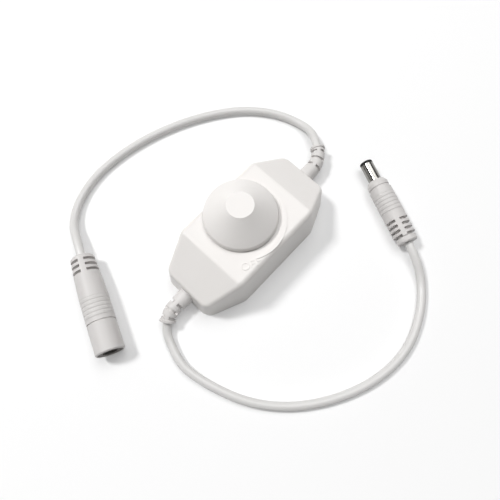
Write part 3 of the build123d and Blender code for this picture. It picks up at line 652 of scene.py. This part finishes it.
# %% Board and parts
board_green = moulded(
    "board_mask",
    colour=(0.030, 0.16, 0.055),
    deep=(0.018, 0.11, 0.038),
    rough=0.30,
    spread=0.15,
    grain_scale=1200.0,
    grain_depth=5e-6,
    soil=0.15,
)
epoxy_black = moulded(
    "epoxy_black",
    colour=(0.020, 0.020, 0.021),
    deep=(0.032, 0.032, 0.033),
    rough=0.48,
    spread=0.15,
    grain_scale=3000.0,
    grain_depth=8e-6,
    soil=0.25,
)
sleeve_blue = moulded(
    "capacitor_sleeve",
    colour=(0.022, 0.030, 0.085),
    deep=(0.030, 0.040, 0.10),
    rough=0.28,
    spread=0.1,
    grain_scale=900.0,
    grain_depth=5e-6,
    soil=0.10,
)
ceramic_tan = moulded(
    "ceramic_tan",
    colour=(0.42, 0.29, 0.17),
    deep=(0.35, 0.23, 0.13),
    rough=0.42,
    spread=0.1,
    grain_scale=4000.0,
    grain_depth=5e-6,
    soil=0.10,
)
track_brown = moulded(
    "track_wafer",
    colour=(0.10, 0.045, 0.020),
    deep=(0.07, 0.030, 0.014),
    rough=0.45,
    spread=0.15,
    grain_scale=1800.0,
    grain_depth=6e-6,
    soil=0.15,
)
board_parts = (board_green, epoxy_black, sleeve_blue, ceramic_tan, track_brown)
print("board and parts", [m.name for m in board_parts])

# %% [markdown]
# Two black plastics show in the photograph. The plug's insulator ends in the black tip and must
# stay black beside the bright sleeve, so its index is low and its skin rough. The insert in the
# socket's mouth is black plastic as well, but its colour is set to a dark grey: a painted
# reflection, standing in for a little of the table's light in the mouth.

# %% Insulators and wires
insulator_black = moulded(
    "insulator_black",
    colour=(0.010, 0.010, 0.010),
    deep=(0.016, 0.016, 0.016),
    rough=0.65,
    spread=0.1,
    grain_scale=2600.0,
    grain_depth=5e-6,
    soil=0.15,
    ior=1.3,
)
# Painted reflection: the black insert's colour is raised to dark grey for the table's light in
# the mouth.
insert_black = moulded(
    "insert_black",
    colour=(0.14, 0.13, 0.12),
    deep=(0.17, 0.16, 0.15),
    rough=0.60,
    spread=0.1,
    grain_scale=1800.0,
    grain_depth=1e-5,
    soil=0.3,
    ior=1.4,
)
wire_skin = {
    "rough": 0.38,
    "spread": 0.1,
    "grain_scale": 1500.0,
    "grain_depth": 5e-6,
    "soil": 0.10,
}
wire_red = moulded(
    "wire_red", colour=(0.48, 0.022, 0.016), deep=(0.38, 0.016, 0.012), **wire_skin
)
wire_black = moulded(
    "wire_black", colour=(0.018, 0.018, 0.018), deep=(0.028, 0.028, 0.028), **wire_skin
)
insulators = (insulator_black, insert_black, wire_red, wire_black)
print("insulators and wires", [m.name for m in insulators])

# %% [markdown]
# Each CAD piece keeps its shape and place and takes a finish by name. A table of finishes and
# nodes keeps the whole choice in one spot, and the line printed below it names any piece that
# was left with a plain colour.

# %% Finishes on the CAD pieces
finishes = {
    housing_white: ["upper_shell", "base_cover"],
    knob_white: ["knob"],
    soft_white: ["input_gland", "output_gland"],
    plug_grip: ["plug_overmould"],
    jack_grip: ["jack_overmould"],
    jacket_white: ["input_cable", "output_cable"],
    nickel: ["plug_barrel", "plug_inner_contact", "jack_centre_pin", "jack_spring_contact"],
    zinc_steel: ["case_screws", "pot_washer", "pot_nut"],
    turned_metal: ["pot_shaft"],
    pressed_metal: ["pot_case", "pot_bushing"],
    spring_brass: ["pot_wiper", "pot_lugs"],
    track_brown: ["pot_track"],
    board_green: ["circuit_board"],
    sleeve_blue: ["smoothing_capacitor"],
    epoxy_black: ["power_transistor", "control_chip", "freewheel_diode", "resistors"],
    ceramic_tan: ["ceramic_capacitors"],
    insulator_black: ["plug_insulator"],
    insert_black: ["jack_insert"],
    wire_red: [
        "input_red_wire",
        "output_red_wire",
        "plug_red_wire",
        "jack_red_wire",
    ],
    wire_black: [
        "input_black_wire",
        "output_black_wire",
        "plug_black_wire",
        "jack_black_wire",
    ],
}
finished = set()
for material, names in finishes.items():
    for name in names:
        for material_slot in nodes[name].material_slots:
            material_slot.material = material
        finished.add(name)
for cord in (input_cord, output_cord):
    cord.data.materials.append(jacket_white)
print("left without a finish:", sorted(set(nodes) - finished))

# %% [markdown]
# By the thin end of the raised mark stands a small raised word, OFF, moulded with the housing.
# A text object with a little thickness makes it, turned into a mesh so that it rides like any
# piece. It stands along the knob's rim, as the mark does, and its root is sunk half a
# millimetre into the deck, so that no gap shows under it.

# %% The word by the mark
deck_height = 19.5 * MM
knob_centre = Vector((0.0, 3.4, 0.0)) * MM
letter_size = 4.2 * MM
letter_height = 0.16 * MM
letter_root = 0.5 * MM
letter_edge = 0.03 * MM
# Each letter, with its turn round the knob in degrees and its distance from the axis in mm.
letter_places = [("O", -131.5, 20.3), ("F", -123.6, 19.8), ("F", -117.2, 19.4)]


def raised_letter(letter, turn, radius):
    """One letter, standing outward from the knob's axis at an angle and a distance."""
    shape = bpy.data.curves.new(f"letter_{letter}", "FONT")
    shape.body = letter
    shape.size = letter_size
    shape.align_x = "CENTER"
    shape.align_y = "CENTER"
    shape.extrude = (letter_height + letter_root) / 2
    shape.bevel_depth = letter_edge
    flat = bpy.data.objects.new(f"letter_{letter}", shape)
    out = Vector((math.cos(turn), math.sin(turn), 0.0))
    middle = deck_height + (letter_height - letter_root) / 2
    flat.location = knob_centre + out * radius + Vector((0, 0, middle))
    flat.rotation_euler = (0.0, 0.0, turn + math.pi / 2)
    bpy.context.scene.collection.objects.link(flat)
    bpy.context.view_layer.update()
    solid = flat.evaluated_get(bpy.context.evaluated_depsgraph_get())
    mesh = bpy.data.meshes.new_from_object(solid)
    mesh.transform(flat.matrix_world)
    bpy.data.objects.remove(flat)
    return mesh


for number, (letter, degrees, radius) in enumerate(letter_places, start=1):
    mesh = raised_letter(letter, math.radians(degrees), radius * MM)
    mesh.materials.clear()
    mesh.materials.append(housing_white)
    piece = bpy.data.objects.new(f"off_letter_{number}", mesh)
    bpy.context.scene.collection.objects.link(piece)
    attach(piece, "housing")
    print(piece.name, "has", len(mesh.vertices), "vertices")

# %% [markdown]
# The background has to be white to the camera and to mirrors and glass, and yet throw no more
# light on the part. The kind of ray that meets a surface tells the two apart, and a Light Path
# node gives it. The table and the room both use it, each in its own tree.


# %% Rays that look
def looked_at(tree):
    """Is 1 for camera, mirror and glass rays, and 0 for the light on the part."""
    ray = place(tree, "ShaderNodeLightPath")
    or_shiny = place(tree, "ShaderNodeMath", operation="MAXIMUM")
    or_clear = place(tree, "ShaderNodeMath", operation="MAXIMUM")
    join(
        tree,
        (ray.outputs["Is Camera Ray"], or_shiny.inputs[0]),
        (ray.outputs["Is Glossy Ray"], or_shiny.inputs[1]),
        (or_shiny.outputs["Value"], or_clear.inputs[0]),
        (ray.outputs["Is Transmission Ray"], or_clear.inputs[1]),
    )
    return or_clear.outputs["Value"]


print("camera, glossy and transmission rays look; the rest light the part")

# %% [markdown]
# The table is one wide white sheet. On camera it has to be as white as paper and still keep the
# soft grey shadow. So the sheet is a plain white diffuse surface, and where a ray that looks
# meets it, a little light of its own is added. Its shadow side then stays grey, and its lit
# side reaches white.

# %% Table
reach = 2.0
sheet_white = 0.76
sheet_lift = 0.20

table_mesh = bpy.data.meshes.new("table")
table_mesh.from_pydata(
    [(-reach, -reach, 0.0), (reach, -reach, 0.0), (reach, reach, 0.0), (-reach, reach, 0.0)],
    [],
    [(0, 1, 2, 3)],
)
table = bpy.data.objects.new("table", table_mesh)
bpy.context.scene.collection.objects.link(table)

paper = bpy.data.materials.new("paper_white")
paper.use_nodes = True
tree = paper.node_tree
tree.nodes.clear()
paper_colour = (sheet_white, sheet_white, sheet_white, 1.0)
sheet = place(tree, "ShaderNodeBsdfDiffuse", {"Color": paper_colour})
glow = place(tree, "ShaderNodeEmission", {"Color": (1.0, 1.0, 1.0, 1.0)})
lift = place(tree, "ShaderNodeMath", {1: sheet_lift}, operation="MULTIPLY")
total = place(tree, "ShaderNodeAddShader")
end = place(tree, "ShaderNodeOutputMaterial")
join(
    tree,
    (looked_at(tree), lift.inputs[0]),
    (lift.outputs["Value"], glow.inputs["Strength"]),
    (sheet.outputs["BSDF"], total.inputs[0]),
    (glow.outputs["Emission"], total.inputs[1]),
    (total.outputs["Shader"], end.inputs["Surface"]),
)
table_mesh.materials.append(paper)
print("table", 2 * reach, "m across, lifted by", sheet_lift)

# %% [markdown]
# The room gives a little even light from all round. Towards the horizon it looks white to the
# camera and in mirrors, as a studio's walls do, and it is dim overhead, which gives bare metal
# its dark stripes. The direction of a ray gives its height above the horizon.

# %% Room
room_light = 0.15
wall_light = 0.85
walls_white_below = 0.25
walls_gone_above = 0.40

world = bpy.data.worlds.new("white_room")
world.use_nodes = True
bpy.context.scene.world = world
tree = world.node_tree
room = tree.nodes["Background"]
room.inputs["Color"].default_value = (1.0, 1.0, 1.0, 1.0)
direction = place(tree, "ShaderNodeTexCoord")
parts = place(tree, "ShaderNodeSeparateXYZ")
walls = place(
    tree,
    "ShaderNodeMapRange",
    {
        "From Min": walls_gone_above,
        "From Max": walls_white_below,
        "To Min": 0.0,
        "To Max": wall_light,
    },
    interpolation_type="SMOOTHSTEP",
)
white_walls = place(tree, "ShaderNodeMath", operation="MULTIPLY")
strength = place(tree, "ShaderNodeMath", {1: room_light}, operation="ADD")
join(
    tree,
    (direction.outputs["Generated"], parts.inputs["Vector"]),
    (parts.outputs["Z"], walls.inputs["Value"]),
    (walls.outputs["Result"], white_walls.inputs[0]),
    (looked_at(tree), white_walls.inputs[1]),
    (white_walls.outputs["Value"], strength.inputs[0]),
    (strength.outputs["Value"], room.inputs["Strength"]),
)
print("room light", room_light, "and walls", room_light + wall_light)

# %% [markdown]
# The light is a product photographer's: a small soft box on the far left draws the short
# shadow towards the viewer's right, and a larger one, high on the far right, lights the top
# faces and opens the shade. Soft boxes are area lamps, and their size sets how soft the
# shadow's edge is.

# %% Lamps
lamp_distance = 1.6


def soft_box(name, side, height, size, watts):
    """A square area lamp that faces the dimmer from a side and a height in degrees."""
    lamp = bpy.data.lights.new(name, "AREA")
    lamp.shape = "SQUARE"
    lamp.size = size
    lamp.energy = watts
    box = bpy.data.objects.new(name, lamp)
    towards = direction_to(math.radians(side), math.radians(height))
    stand_and_face(box, towards, lamp_distance)
    return box


key_box = soft_box("key_box", side=112.0, height=56.0, size=0.27, watts=14.8)
top_box = soft_box("top_box", side=16.0, height=70.0, size=1.10, watts=13.0)
print("lamps", key_box.name, top_box.name)

# %% [markdown]
# Last, the view layer is brought up to date. The finish must never change the part.

# %% Bringing the scene up to date
bpy.context.view_layer.update()
